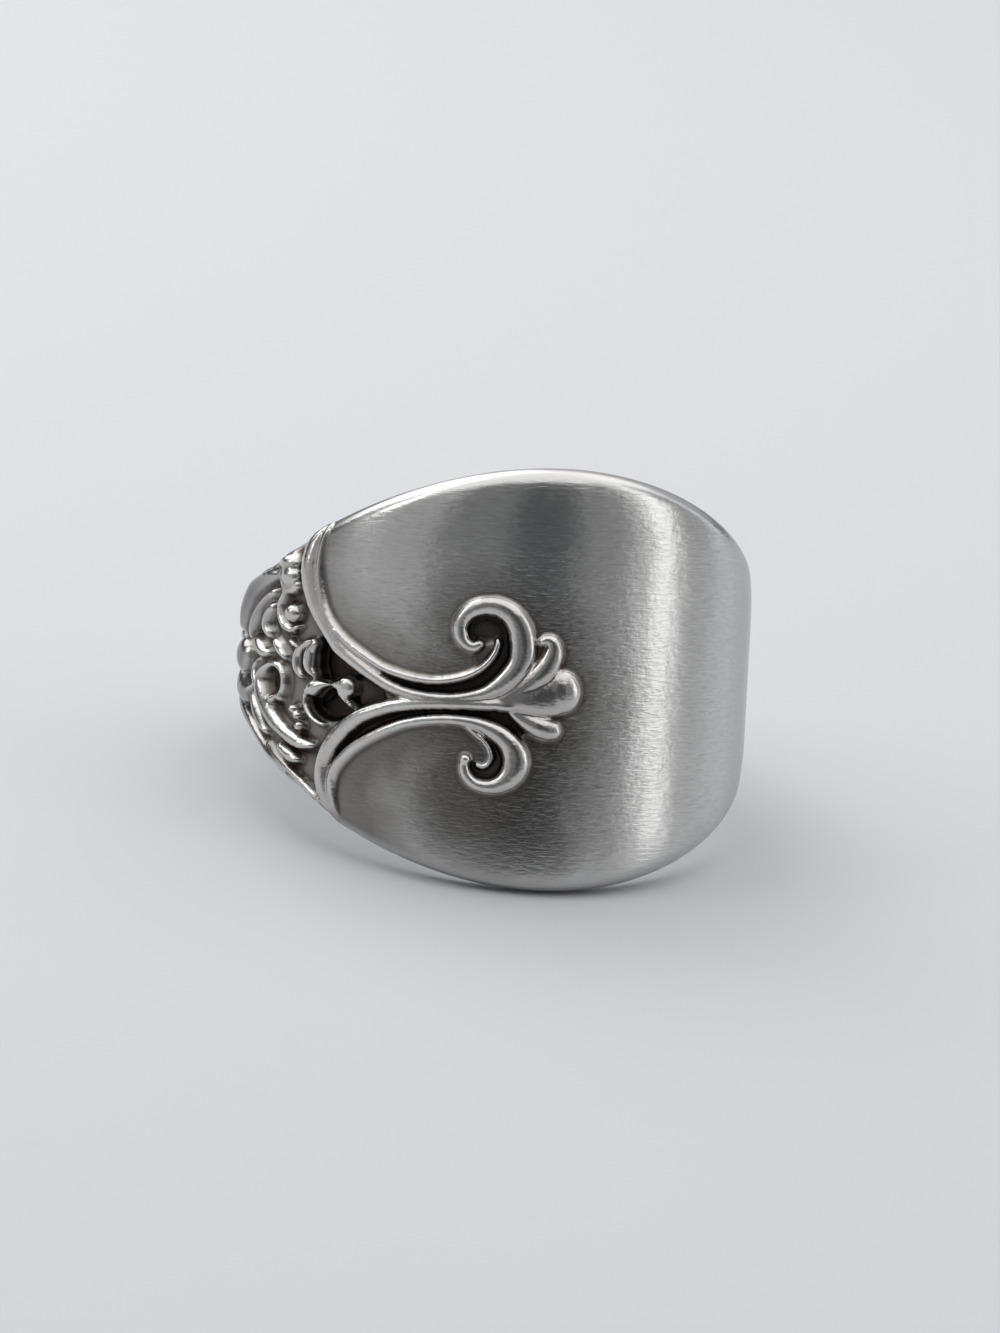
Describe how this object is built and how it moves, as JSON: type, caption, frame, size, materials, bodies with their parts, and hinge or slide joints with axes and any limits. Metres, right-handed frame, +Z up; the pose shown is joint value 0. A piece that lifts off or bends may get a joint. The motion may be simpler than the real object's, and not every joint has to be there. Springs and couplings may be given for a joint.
{
  "type": "spoon ring",
  "caption": "Finger ring bent from a spoon: wide plain brushed panel, raised scrolls ending in a three-petalled flower, narrow ornate neck and an open back.",
  "frame": {"origin": "centre of the bounding box in plan, on the surface that the ring lies on", "axes": "+Z up from that surface; the middle of the plain panel faces -Y; the bore's axis lies in the YZ plane and leans back by 17.5 degrees from +Z"},
  "size_m": [0.0226, 0.024, 0.0174],
  "materials": {
    "silver": "silver, brushed along the finger's girth on the plain panel, polished on rims and ornament, darkened in the hollows"
  },
  "bodies": {
    "root": {"ring_band": "silver"}
  },
  "joints": []
}
